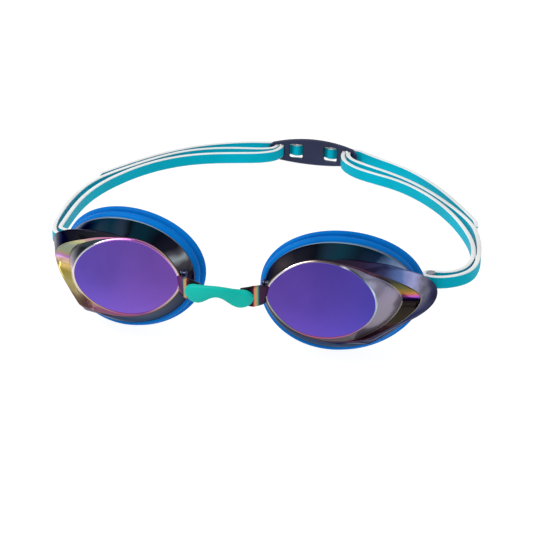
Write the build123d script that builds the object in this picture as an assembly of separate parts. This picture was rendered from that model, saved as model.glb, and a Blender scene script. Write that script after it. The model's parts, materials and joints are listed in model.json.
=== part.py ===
from build123d import *
import os
from math import cos, pi, radians, sin, tan

# Swim goggles: two mirrored eyecups with soft gaskets, a flexible nose bridge, and one silicone
# band that runs through a rear clip.  Millimetres.  +X is the wearer's left, -Y is the front,
# +Z is up.  The goggles stand on the lower edges of both gaskets and of the clip, at z = 0.
# Every shape is first drawn about the middle of the nose bridge, then the whole set is moved
# so that the origin is the bottom centre of its bounding box.

# --- eyecups ---------------------------------------------------------------------------------
LENS_SPACING = 75.1          # between the two lens centres
LENS_HEIGHT = 27.0           # lens centre above the surface the goggles stand on
LENS_TILT = 15.3             # degrees that the lenses lean back at the top
LENS_HALF_WIDTH = 20.5
LENS_HALF_HEIGHT = 14.1
LENS_THICKNESS = 2.0
LENS_RIM = 0.8               # bevelled rim round the flat lens
WALL = 1.6                   # side wall of the cup
FACE_RADIUS = 68.0           # the seal follows a cylinder of this radius round the face
FACE_AXIS_X = -10.2          # that cylinder's axis, measured outward from the lens centre
SHELL_DEPTH = 8.3            # least depth of the wall, behind the lens front
# Sections of the wall: depth, distance of its middle outward, its height, half width and height.
OUTER_SECTIONS = [(0, 0, 0, LENS_HALF_WIDTH + LENS_RIM, LENS_HALF_HEIGHT + LENS_RIM),
                  (9, 0.2, 0, 24.6, 20.4),
                  (27, 3.8, 0, 29.6, 21.6)]
INNER_SECTIONS = [(LENS_THICKNESS, 0.2, 0, LENS_HALF_WIDTH - 0.7, LENS_HALF_HEIGHT - 0.5),
                  (9, 0.2, 0, 24.6 - WALL, 20.4 - WALL),
                  (28, 4.0, 0, 29.7 - WALL, 21.7 - WALL)]

# --- gaskets ---------------------------------------------------------------------------------
BEAD_END = 12.0              # depth where the front bead ends and the groove starts
FLANGE_START = 13.2
FLANGE_END = 16.4            # depth of the soft edge that meets the face
# Outlines: distance of the middle outward, its height, half width and half height.
BEAD_OUTLINE = (2.9, 0.1, 29.2, 22.3)
NECK_OUTLINE = (3.1, 0.1, 28.0, 21.0)
FLANGE_OUTLINE = (3.8, 0.2, 30.6, 23.2)
GASKET_OPENING = (3.0, 0.0, 25.2, 18.4)
SEAT_OUTLINE = (3.8, 0.0, 33.5, 25.0)    # wider than the wall, so it trims the whole rear edge

# --- temple arms and posts -------------------------------------------------------------------
# The arm's face lies flat beside the lens as far as the bend.  There it turns back at a steady
# slope, and it curls back further near the tip.
ARM_START = -6.0             # distance outward where the arm begins, above and below the lens
ARM_FACE_DEPTH = 0.9
ARM_BEND = 17.8              # distance outward of the bend
ARM_SWEEP = 0.98             # depth gained for each millimetre past the bend
ARM_TIP_CURL = 8.6           # extra depth at the tip
ARM_LEAN = 0.4               # the face comes forward by this for each millimetre of height
ARM_LEAN_RUN = 12.0          # distance past the bend where the lean is complete
ARM_THICKNESS = (2.0, 4.2)   # at the bend and at the tip
ARM_STATION_STEP = 2.7       # between the sections that the arm is lofted through
# From the front the arm is an oval with a shallow scoop taken out of its lower edge.
ARM_MIDDLE = (12.4, -0.3)
ARM_HALF_WIDTH = 27.0
ARM_HALF_HEIGHT = 16.7
SCOOP_MIDDLE = (51.2, -53.4)
SCOOP_RADIUS = 48.6
# The groove between the lens block and the arm is a pointed oval; a fullness of 2 is an ellipse.
GROOVE_MIDDLE = (4.0, -0.4)
GROOVE_HALF_WIDTH = 30.5
GROOVE_HALF_HEIGHT = 15.0
GROOVE_FULLNESS = 1.75
GROOVE_START = 8.0           # hidden under the lens block
GROOVE_TURN = 75             # degrees of the oval each side of its tip that the groove takes in
GROOVE_STEPS = 12            # straight pieces each side of the tip
# Its floor is a valley of two slopes.  The bottom line of the valley runs outward and back.
VALLEY_HEIGHT = -1.9
VALLEY_DEPTH = 18.2          # at this distance outward:
VALLEY_X = 27.8
VALLEY_RUN = 0.5             # deeper by this for each millimetre outward
VALLEY_SLOPES = (0.83, 0.95)     # how fast the floor rises below and above the bottom line
FLOOR_THICKNESS = 1.6
FLOOR_REACH = 5.0            # the floor may lie this far behind the arm's back
POST_X = 72.9
POST_Y = 36.95
POST_RADIUS = 1.75
LUG_THICKNESS = 1.0
LUG_RING = 0.5               # material round the post
LUG_CLEARANCE = 0.2          # between the band's edge and a lug
LUG_OUTLINE = [(77.8, 29.8), (76.8, 33.0), (75.0, 36.5), (71.0, 36.3), (72.9, 33.4), (74.6, 28.8)]

# --- nose tabs and bridge --------------------------------------------------------------------
TAB_THICKNESS = 1.8
TAB_LINE = [(20.0, 4.2), (12.6, -2.7), (8.4, -3.7)]
TAB_HALF_HEIGHT = 4.0
TAB_HEIGHT = 26.8            # middle of the tab above the surface
PEG_X = 10.4
PEG_RADIUS = 1.5
PEG_LENGTH = 2.8
PEG_Y = -5.0                 # middle of the peg
PEG_FIT = 0.1                # radial clearance between the peg and the hole in the bridge
PEG_HOLE_DEPTH = 5.0
PEG_HOLE_Y = -4.0            # middle of the blind hole
BRIDGE_TOP = 31.7            # height of the top edge in the middle
BRIDGE_DROP = 1.0            # how far the top edge falls to the pads
BRIDGE_ARCH = 3.85           # how far the underside rises between the pads
PAD_X = 9.5                  # middle of each round pad
PAD_HEIGHT = 27.1
PAD_RADIUS = 3.6
BRIDGE_STEPS = 10            # straight pieces of each outline from the middle to a pad
BRIDGE_FRONT_Y = -8.6        # foremost point of the bridge
BRIDGE_RADIUS = 41.0         # curve of the bridge seen from above
BRIDGE_THICKNESS = 2.4

# --- band and clip ---------------------------------------------------------------------------
BAND_WIDTH = 5.0
BAND_THICKNESS = 1.8
BAND_SLOPE = 6.4             # degrees that the band falls towards the back
BAND_START_HEIGHT = 24.7     # height of the band's middle plane at y = 0
CLIP_X = -0.9
CLIP_Y = 168.0
CLIP_HALF_LENGTH = 20.4
CLIP_HALF_HEIGHT = 5.9
CLIP_THICKNESS = 2.0
CLIP_RADIUS = 83.0
CLIP_SHOULDER = (18.4, 3.7)  # where the long arcs of the outline meet the round ends
CLIP_CHAMFER = 0.4
CLIP_CORNER_RADIUS = 0.9
CLIP_WINDOW = (7.9, 6.0, 6.6)        # distance of its middle from the clip's, width, height
CLIP_END_OPENING = (15.5, 4.2, 5.7)
CROSSING_GAP = 1.0           # between the clip's back and the band behind it
CROSSING_BOW = (0.9, 0.2)    # how far the crossing lies forward at its ends and by the windows
TURN_LEAD = 2.4              # straight lead from the turn round an end bar into the tail
TURN_GAP = 0.05              # between the band and the post it goes round
TURN_RUNS = (5.0, 4.2)       # straight leads into and out of the turn round the post
ROUTE_BEND = 0.45            # share of the shorter run that each rounded corner takes
LARGEST_BEND = 60.0          # radius limit beside the turn round the post

# Middle lines of the band, seen from above.  The x values are distances from the nose, the same
# for both sides; the two sides of the loop hang a little differently.
LEFT_INNER = [(83.4, 43.9), (85.9, 51.4), (86.1, 62.5), (83.8, 74.6), (78.7, 88.4), (71.9, 102.6),
              (63.2, 116.4), (52.6, 128.8), (42.0, 137.2), (31.4, 142.0), (23.0, 146.4),
              (16.4, 153.4), (13.55, 161.2), (13.55, 167.2)]
LEFT_OUTER = [(83.9, 38.9), (87.9, 46.4), (88.5, 58.2), (87.2, 70.2), (84.8, 82.2), (81.6, 92.4),
              (76.0, 102.8), (68.2, 114.4), (59.2, 126.0), (49.0, 136.6), (38.2, 144.8),
              (27.6, 150.9), (19.4, 156.2), (15.65, 162.4), (15.65, 170.1)]
LEFT_TAIL = [(21.6, 168.6), (29.4, 162.6), (38.6, 156.8), (47.8, 149.2), (56.8, 138.8),
             (64.8, 127.6), (72.2, 115.4), (77.8, 105.6), (82.6, 96.4)]
RIGHT_INNER = [(78.6, 46.9), (79.4, 56.2), (80.1, 66.2), (80.2, 76.2), (79.5, 86.2), (77.5, 97.2),
               (73.9, 108.6), (68.9, 120.4), (62.1, 131.2), (53.6, 140.0), (43.4, 146.2),
               (32.0, 150.2), (23.0, 153.2), (17.4, 157.2), (15.25, 162.2), (15.25, 167.2)]
RIGHT_OUTER = [(80.6, 41.2), (82.4, 51.2), (83.7, 64.2), (84.1, 78.2), (83.4, 90.2), (81.2, 100.2),
               (77.6, 109.4), (72.9, 118.8), (67.9, 128.2), (62.3, 137.2), (55.5, 145.6),
               (46.6, 152.2), (35.6, 156.6), (26.8, 158.4), (20.6, 160.2), (17.35, 163.4),
               (17.35, 169.7)]
RIGHT_TAIL = [(23.4, 168.5), (30.0, 166.9), (37.0, 163.8), (44.2, 159.6), (51.4, 154.2),
              (58.6, 146.8), (65.2, 138.2), (70.9, 129.0), (76.0, 119.4), (80.6, 110.2),
              (82.9, 105.2)]
TEMPLE_END_Y = 64.0          # the temple loops end here, and the long runs of the band begin

FAR = 60.0                   # longer than any cup, for blocks that only trim


# --- helpers ---------------------------------------------------------------------------------
def upright(depth):
    """A plane parallel to the lens, facing the front, at a depth behind the lens front."""
    return Plane.XZ.offset(-depth)


def oval(depth, centre_x, centre_z, half_width, half_height):
    return upright(depth) * Pos(centre_x, centre_z) * Ellipse(half_width, half_height)


def oval_prism(outline):
    return extrude(oval(FAR - 10, *outline), FAR)


def face_cylinder(depth):
    """Everything behind the curved surface that touches this depth at its foremost line."""
    return Pos(FACE_AXIS_X, depth + FACE_RADIUS, 0) * Cylinder(FACE_RADIUS, FAR)


def face_slab(front, back):
    return face_cylinder(front) - face_cylinder(back)


def to_row(shape, side):
    """Cup drawing to its place: lean it back, move it out, and mirror it for the right side."""
    placed = Pos(LENS_SPACING / 2, 0, LENS_HEIGHT) * Rot(-LENS_TILT, 0, 0) * shape
    return placed if side == "left" else mirror(placed, about=Plane.YZ)


def on_side(shape, side):
    return shape if side == "left" else mirror(shape, about=Plane.YZ)


BAND_PLANE = Plane(
    origin=(0, 0, BAND_START_HEIGHT),
    x_dir=(1, 0, 0),
    z_dir=(0, sin(radians(BAND_SLOPE)), cos(radians(BAND_SLOPE))),
)


def turn_angle(before, corner, after):
    first = Vector(corner[0] - before[0], corner[1] - before[1])
    second = Vector(after[0] - corner[0], after[1] - corner[1])
    return first.get_angle(second), min(first.length, second.length)


def corner_radii(points):
    """Every corner is rounded as far as its two runs allow."""
    radii = []
    for before, corner, after in zip(points, points[1:], points[2:]):
        angle, run = turn_angle(before, corner, after)
        radii.append(ROUTE_BEND * run / tan(radians(angle / 2)))
    return radii


def route_line(points):
    return FilletPolyline(*points, radius=corner_radii(points))


def band_from(line):
    """The band stands on edge: its thickness is traced in plan and its width is the height."""
    outline = trace(line, line_width=BAND_THICKNESS)
    return BAND_PLANE * (Pos(0, 0, -BAND_WIDTH / 2) * extrude(outline, BAND_WIDTH))


def cut_at(points, y):
    """The points of a route that runs towards the back, ahead of a given y and behind it."""
    for index, (start, end) in enumerate(zip(points, points[1:])):
        if start[1] <= y < end[1]:
            share = (y - start[1]) / (end[1] - start[1])
            cut = (start[0] + share * (end[0] - start[0]), y)
            return points[:index + 1] + [cut], [cut] + points[index + 1:]
    raise ValueError("the route doesn't reach that y")


# --- eyecup ----------------------------------------------------------------------------------
def shell():
    outer = loft([oval(*section) for section in OUTER_SECTIONS], ruled=True)
    inner = loft([oval(*section) for section in INNER_SECTIONS], ruled=True)
    return outer, inner


def arm_section(x, thicker):
    """A slanted four-sided section: past the bend, the face is further forward at the top."""
    past = max(x - ARM_BEND, 0)
    length = ARM_MIDDLE[0] + ARM_HALF_WIDTH - ARM_BEND
    depth = ARM_FACE_DEPTH + ARM_SWEEP * past + ARM_TIP_CURL * (past / length) ** 4
    lean = ARM_LEAN * min(past / ARM_LEAN_RUN, 1)
    at_bend, at_tip = ARM_THICKNESS
    thickness = at_bend + (at_tip - at_bend) * past / length + thicker
    reach = FAR / 3
    corners = [(depth + lean * reach, -reach), (depth - lean * reach, reach),
               (depth - lean * reach + thickness, reach), (depth + lean * reach + thickness, -reach)]
    return Plane.YZ.offset(x) * make_face(Polyline(*corners, close=True))


def front_prism(face):
    return extrude(upright(FAR - 10) * face, FAR)


def arm_block(thicker=0):
    tip = ARM_MIDDLE[0] + ARM_HALF_WIDTH
    steps = round((tip - ARM_BEND) / ARM_STATION_STEP)
    swept = [ARM_BEND + (tip - ARM_BEND) * step / steps for step in range(steps + 1)]
    outline = Pos(*ARM_MIDDLE) * Ellipse(ARM_HALF_WIDTH, ARM_HALF_HEIGHT)
    outline -= Pos(*SCOOP_MIDDLE) * Circle(SCOOP_RADIUS)
    sections = [arm_section(x, thicker) for x in [ARM_START] + swept]
    return loft(sections, ruled=True) & front_prism(outline)


def groove_face():
    """The pointed end of the oval |x/a|^n + |z/b|^n = 1, closed behind under the lens block."""
    power = 2 / GROOVE_FULLNESS
    points = [(GROOVE_START, 0)]
    for step in range(-GROOVE_STEPS, GROOVE_STEPS + 1):
        turn = radians(GROOVE_TURN * step / GROOVE_STEPS)
        rise = abs(sin(turn)) ** power * (1 if step > 0 else -1)
        points.append((GROOVE_MIDDLE[0] + GROOVE_HALF_WIDTH * cos(turn) ** power,
                       GROOVE_MIDDLE[1] + GROOVE_HALF_HEIGHT * rise))
    return make_face(Polyline(*points, close=True))


def valley_section(x, moved_back):
    """Everything in front of the groove's floor at one distance outward."""
    bottom = VALLEY_DEPTH + VALLEY_RUN * (x - VALLEY_X) + moved_back
    rise_low, rise_high = VALLEY_SLOPES
    reach = FAR / 2
    corners = [(-FAR, -reach), (bottom - rise_low * (reach + VALLEY_HEIGHT), -reach),
               (bottom, VALLEY_HEIGHT),
               (bottom - rise_high * (reach - VALLEY_HEIGHT), reach), (-FAR, reach)]
    return Plane.YZ.offset(x) * make_face(Polyline(*corners, close=True))


def groove(moved_back=0):
    valley = loft([valley_section(x, moved_back) for x in (0, FAR)], ruled=True)
    return front_prism(groove_face()) & valley


def arm():
    """The arm with its groove, and a floor of even thickness behind the groove."""
    floor = groove(FLOOR_THICKNESS) & arm_block(FLOOR_REACH)
    return arm_block() + floor - groove()


def nose_tab():
    outline = trace(Polyline(*TAB_LINE), line_width=TAB_THICKNESS)
    plate = Pos(0, 0, TAB_HEIGHT - TAB_HALF_HEIGHT) * extrude(outline, TAB_HALF_HEIGHT * 2)
    peg = Pos(PEG_X, PEG_Y, TAB_HEIGHT) * Rot(90, 0, 0) * Cylinder(PEG_RADIUS, PEG_LENGTH)
    return plate + peg


def strap_post():
    """Two lugs behind the arm's tip hold the upright post that the band goes round."""
    reach = BAND_WIDTH / 2 + LUG_CLEARANCE
    lug = extrude(make_face(Polyline(*LUG_OUTLINE, close=True)), LUG_THICKNESS)
    lug += Pos(POST_X, POST_Y, 0) * extrude(Circle(POST_RADIUS + LUG_RING), LUG_THICKNESS)
    post = Pos(POST_X, POST_Y, 0) * Cylinder(POST_RADIUS, 2 * reach + LUG_THICKNESS)
    whole = post + Pos(0, 0, reach) * lug + Pos(0, 0, -reach - LUG_THICKNESS) * lug
    return BAND_PLANE * whole


def eyecup(side):
    outer, inner = shell()
    cup = outer + arm()
    cup -= inner
    cup -= face_cylinder(SHELL_DEPTH) & oval_prism(SEAT_OUTLINE)
    placed = to_row(cup, side)
    placed += on_side(nose_tab(), side)
    placed += on_side(strap_post(), side)
    return placed


def gasket(side):
    bead = oval_prism(BEAD_OUTLINE) & face_slab(SHELL_DEPTH, BEAD_END)
    neck = oval_prism(NECK_OUTLINE) & face_slab(BEAD_END, FLANGE_START)
    flange = oval_prism(FLANGE_OUTLINE) & face_slab(FLANGE_START, FLANGE_END)
    return to_row(bead + neck + flange - oval_prism(GASKET_OPENING), side)


# --- nose bridge -----------------------------------------------------------------------------
def bridge_edges(x):
    """Heights of the underside and the top edge between the pads, at a distance from the middle."""
    share = x / PAD_X
    under = PAD_HEIGHT - PAD_RADIUS + BRIDGE_ARCH * (1 + cos(pi * share)) / 2
    return under, BRIDGE_TOP - BRIDGE_DROP * share**2


def nose_bridge():
    """A slight arch on top, a stronger one underneath, and a rounded pad over each nose tab."""
    places = [PAD_X * step / BRIDGE_STEPS for step in range(-BRIDGE_STEPS, BRIDGE_STEPS + 1)]
    under = [(x, bridge_edges(x)[0]) for x in places]
    top = [(x, bridge_edges(x)[1]) for x in reversed(places)]
    middle = make_face(Polyline(*under, *top, close=True))
    pads = [Pos(x, PAD_HEIGHT) * Circle(PAD_RADIUS) for x in (PAD_X, -PAD_X)]
    face = Plane.XZ.offset(FAR / 2) * (middle + pads)
    axis = Pos(0, BRIDGE_FRONT_Y + BRIDGE_RADIUS, BRIDGE_TOP)
    curved = Cylinder(BRIDGE_RADIUS, FAR) - Cylinder(BRIDGE_RADIUS - BRIDGE_THICKNESS, FAR)
    bridge = extrude(face, -FAR / 2) & (axis * curved)
    hole = Rot(90, 0, 0) * Cylinder(PEG_RADIUS + PEG_FIT, PEG_HOLE_DEPTH)
    for x in (PEG_X, -PEG_X):
        bridge -= Pos(x, PEG_HOLE_Y, TAB_HEIGHT) * hole
    return bridge


# --- band ------------------------------------------------------------------------------------
def temple_loop(inner, outer, side):
    """From the end of the inner leg, forward, round the temple post and back to the outer leg."""
    turn = POST_RADIUS + BAND_THICKNESS / 2 + TURN_GAP
    lead_in, lead_out = TURN_RUNS
    wrap = [(POST_X + lead_in, POST_Y + turn), (POST_X - turn, POST_Y + turn),
            (POST_X - turn, POST_Y - turn), (POST_X + lead_out, POST_Y - turn)]
    arriving = cut_at(inner, TEMPLE_END_Y)[0][::-1]
    points = arriving + wrap + cut_at(outer, TEMPLE_END_Y)[0]
    radii = [min(radius, LARGEST_BEND) for radius in corner_radii(points)]
    radii[len(arriving)] = turn
    radii[len(arriving) + 1] = turn
    return on_side(band_from(FilletPolyline(*points, radius=radii)), side)


def inner_run(inner, side):
    return on_side(band_from(route_line(cut_at(inner, TEMPLE_END_Y)[1])), side)


def outer_run(outer, tail, side):
    """The outer run ends in the turn round the clip's end bar and meets the tail in line."""
    tail_start = Vector(*tail[0])
    lead = (Vector(*tail[1]) - tail_start).normalized() * TURN_LEAD
    last_corner = tail_start - lead
    line = cut_at(outer, TEMPLE_END_Y)[1] + [(last_corner.X, last_corner.Y), tail[0]]
    return on_side(band_from(route_line(line)), side)


def rear_crossing():
    """The inner run passes behind the clip's middle, from one end opening to the other."""
    right_x, end_y = RIGHT_INNER[-1]
    left_x = LEFT_INNER[-1][0]
    window_x = CLIP_WINDOW[0]
    back_y = CLIP_Y + CLIP_THICKNESS / 2 + BAND_THICKNESS / 2 + CROSSING_GAP
    end_bow, window_bow = CROSSING_BOW
    points = [(-right_x, end_y), (-right_x, back_y - end_bow),
              (CLIP_X - window_x, back_y - window_bow), (CLIP_X, back_y),
              (CLIP_X + window_x, back_y - window_bow), (left_x, back_y - end_bow),
              (left_x, end_y)]
    return band_from(route_line(points))


# --- clip ------------------------------------------------------------------------------------
def clip_outline():
    """A leaf shape: two long arcs and two round ends."""
    x, z = CLIP_SHOULDER
    return make_face([
        ThreePointArc((-x, z), (0, CLIP_HALF_HEIGHT), (x, z)),
        ThreePointArc((x, z), (CLIP_HALF_LENGTH, 0), (x, -z)),
        ThreePointArc((x, -z), (0, -CLIP_HALF_HEIGHT), (-x, -z)),
        ThreePointArc((-x, -z), (-CLIP_HALF_LENGTH, 0), (-x, z)),
    ])


def rear_clip():
    """A curved plate with two windows in its middle and an opening inside each end bar."""
    face = clip_outline()
    for centre, width, height in (CLIP_WINDOW, CLIP_END_OPENING):
        for x in (centre, -centre):
            face -= Pos(x, 0) * RectangleRounded(width, height, CLIP_CORNER_RADIUS)
    outer = Cylinder(CLIP_RADIUS + CLIP_THICKNESS / 2, FAR)
    inner = Cylinder(CLIP_RADIUS - CLIP_THICKNESS / 2, FAR)
    curved = Pos(0, CLIP_Y - CLIP_RADIUS, 0) * (outer - inner)
    clip = extrude(Plane.XZ.offset(-CLIP_Y - FAR / 2) * face, FAR) & curved
    across_the_plate = CLIP_THICKNESS + 0.1
    rims = [edge for edge in clip.edges()
            if edge.geom_type != GeomType.LINE or edge.length > across_the_plate]
    clip = chamfer(rims, CLIP_CHAMFER)
    return BAND_PLANE * (Pos(CLIP_X, 0, 0) * clip)


# --- the whole set ---------------------------------------------------------------------------
def build():
    nodes = {
        "nose_bridge": nose_bridge(),
        "rear_clip": rear_clip(),
        "strap_rear_crossing": rear_crossing(),
    }
    routes = {"left": (LEFT_INNER, LEFT_OUTER, LEFT_TAIL),
              "right": (RIGHT_INNER, RIGHT_OUTER, RIGHT_TAIL)}
    for side, (inner, outer, tail) in routes.items():
        nodes[side + "_eyecup"] = eyecup(side)
        nodes[side + "_gasket"] = gasket(side)
        nodes[side + "_strap_temple_loop"] = temple_loop(inner, outer, side)
        nodes[side + "_strap_inner_run"] = inner_run(inner, side)
        nodes[side + "_strap_outer_run"] = outer_run(outer, tail, side)
        nodes[side + "_strap_tail"] = on_side(band_from(route_line(tail)), side)
    return nodes


def main():
    nodes = build()
    boxes = [shape.bounding_box() for shape in nodes.values()]
    low = [min(getattr(box.min, axis) for box in boxes) for axis in "XYZ"]
    high = [max(getattr(box.max, axis) for box in boxes) for axis in "XYZ"]
    shift = Pos(-(low[0] + high[0]) / 2, -(low[1] + high[1]) / 2, -low[2])
    print("origin moved by", shift.position, "from the nose bridge; size",
          [round(b - a, 2) for a, b in zip(low, high)])
    os.makedirs("parts", exist_ok=True)
    for name, shape in nodes.items():
        export_step(shift * shape, f"parts/{name}.step")


main()
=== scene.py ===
import json
import math

import bmesh
import bpy
import numpy as np
from mathutils import Matrix, Vector


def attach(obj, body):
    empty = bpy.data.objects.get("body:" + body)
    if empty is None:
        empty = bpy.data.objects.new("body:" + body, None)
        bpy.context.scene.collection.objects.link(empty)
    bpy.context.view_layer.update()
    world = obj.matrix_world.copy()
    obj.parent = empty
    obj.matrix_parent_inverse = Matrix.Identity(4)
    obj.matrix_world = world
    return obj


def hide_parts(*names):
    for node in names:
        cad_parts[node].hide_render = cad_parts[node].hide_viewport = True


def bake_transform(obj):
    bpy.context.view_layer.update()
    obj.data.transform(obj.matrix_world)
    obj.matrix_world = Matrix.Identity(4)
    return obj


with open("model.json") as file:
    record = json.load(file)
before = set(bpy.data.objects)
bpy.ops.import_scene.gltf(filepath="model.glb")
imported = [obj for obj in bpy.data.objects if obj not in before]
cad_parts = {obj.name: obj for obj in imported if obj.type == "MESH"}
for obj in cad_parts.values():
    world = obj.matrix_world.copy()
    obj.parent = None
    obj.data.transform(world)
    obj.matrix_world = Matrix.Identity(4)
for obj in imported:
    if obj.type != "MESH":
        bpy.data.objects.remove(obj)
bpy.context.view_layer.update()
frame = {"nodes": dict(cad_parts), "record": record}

# Swim goggles.  +X is the wearer's left, -Y is the front, +Z is up.  The frame is in metres, and the
# sizes of the goggles below are in millimetres.  Cup space is (outward from the lens centre, up in
# the lens plane, depth behind the lens front).  Band space is x, distance back and height across the
# band, on the sloping plane that the band's edge lies along.

SCENE = bpy.context.scene
MM = 0.001
SIDES = {"left": 1, "right": -1}
MOUNTS = {m["name"]: m for m in frame["record"]["mounts"]}
LENS_CENTRE = {s: np.array(MOUNTS[s + "_lens_face"]["pos_m"]) for s in SIDES}
LENS_NORMAL = MOUNTS["left_lens_face"]["axis"]
TILT = math.atan2(LENS_NORMAL[2], -LENS_NORMAL[1])
LENS_HEIGHT = 27.0
MIDDLE_X = (LENS_CENTRE["left"][0] + LENS_CENTRE["right"][0]) / 2
FRONT_Y = LENS_CENTRE["left"][1]
ORIGIN = np.array([MIDDLE_X, FRONT_Y, LENS_CENTRE["left"][2] - LENS_HEIGHT * MM])

# --- camera, floor and light ---
CAMERA_TURN = 14.88          # degrees round to the wearer's left
CAMERA_RISE = 31.19
CAMERA_DISTANCE = 0.7304     # metres
CAMERA_AIM = Vector((0.0, 0.0, 0.00145))    # metres from ORIGIN
CAMERA_PAN = (1.323, 2.382)  # degrees that the goggles sit left of and below the picture's middle
CAMERA_ROLL = -0.756
CAMERA_LENS = 129.83
CAMERA_CLIP_END = 20
WORLD_STRENGTH = 0.56
FLOOR_REACH = 4.0            # metres from the middle to each edge
FLOOR_BASE = 0.16
FLOOR_GLOW = 0.93            # keeps the floor white under the soft light
KEY = dict(place=(-0.45, -0.3, 0.7), size=(0.5, 0.4), power=5.0)
FILL = dict(place=(0.6, -0.3, 0.5), size=(0.5, 0.5), power=0.7)


def make_camera():
    turn, rise = math.radians(CAMERA_TURN), math.radians(CAMERA_RISE)
    back = Vector((math.sin(turn) * math.cos(rise), -math.cos(turn) * math.cos(rise), math.sin(rise)))
    data = bpy.data.cameras.new("camera")
    data.lens = CAMERA_LENS
    data.clip_end = CAMERA_CLIP_END
    camera = bpy.data.objects.new("camera", data)
    SCENE.collection.objects.link(camera)
    place = Vector(ORIGIN) + CAMERA_AIM + back * CAMERA_DISTANCE
    look = (-back).to_track_quat("-Z", "Y").to_matrix()
    pan, tip = (math.radians(a) for a in CAMERA_PAN)
    look = look @ Matrix.Rotation(-pan, 3, "Y") @ Matrix.Rotation(tip, 3, "X")
    look = look @ Matrix.Rotation(math.radians(CAMERA_ROLL), 3, "Z")
    camera.matrix_world = Matrix.Translation(place) @ look.to_4x4()
    SCENE.camera = camera


def area_light(name, place, size, power):
    """A soft rectangular light that points at the middle of the floor."""
    data = bpy.data.lights.new(name, "AREA")
    data.shape = "RECTANGLE"
    data.size, data.size_y = size
    data.energy = power
    light = bpy.data.objects.new(name, data)
    SCENE.collection.objects.link(light)
    light.location = place
    light.rotation_mode = "QUATERNION"
    light.rotation_quaternion = (-Vector(place)).to_track_quat("-Z", "Y")


def make_stage():
    world = bpy.data.worlds.new("studio")
    SCENE.world = world
    world.use_nodes = True
    background = world.node_tree.nodes["Background"]
    background.inputs["Color"].default_value = (1, 1, 1, 1)
    background.inputs["Strength"].default_value = WORLD_STRENGTH
    mesh = bpy.data.meshes.new("floor")
    corners = [(x * FLOOR_REACH, y * FLOOR_REACH, 0) for x, y in ((-1, -1), (1, -1), (1, 1), (-1, 1))]
    mesh.from_pydata(corners, [], [(0, 1, 2, 3)])
    floor = bpy.data.objects.new("floor", mesh)
    SCENE.collection.objects.link(floor)
    shader = Shader("floor_white")
    shader.set(base=(FLOOR_BASE,) * 3, Roughness=0.9)
    shader.set(Emission_Color=(1, 1, 1, 1), Emission_Strength=FLOOR_GLOW)
    mesh.materials.append(shader.material)
    area_light("key", **KEY)
    area_light("fill", **FILL)
    SCENE.view_settings.view_transform = "Standard"


# --- shaders ---
NOISE_RANGE = (0.3, 0.7)     # where most of a noise's values lie


def srgb(red, green, blue):
    """A colour as seen on screen, 0 to 255, as the shader's linear numbers."""
    out = []
    for value in (red, green, blue):
        value /= 255
        out.append(value / 12.92 if value <= 0.04045 else ((value + 0.055) / 1.055) ** 2.4)
    return (*out, 1.0)


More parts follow.
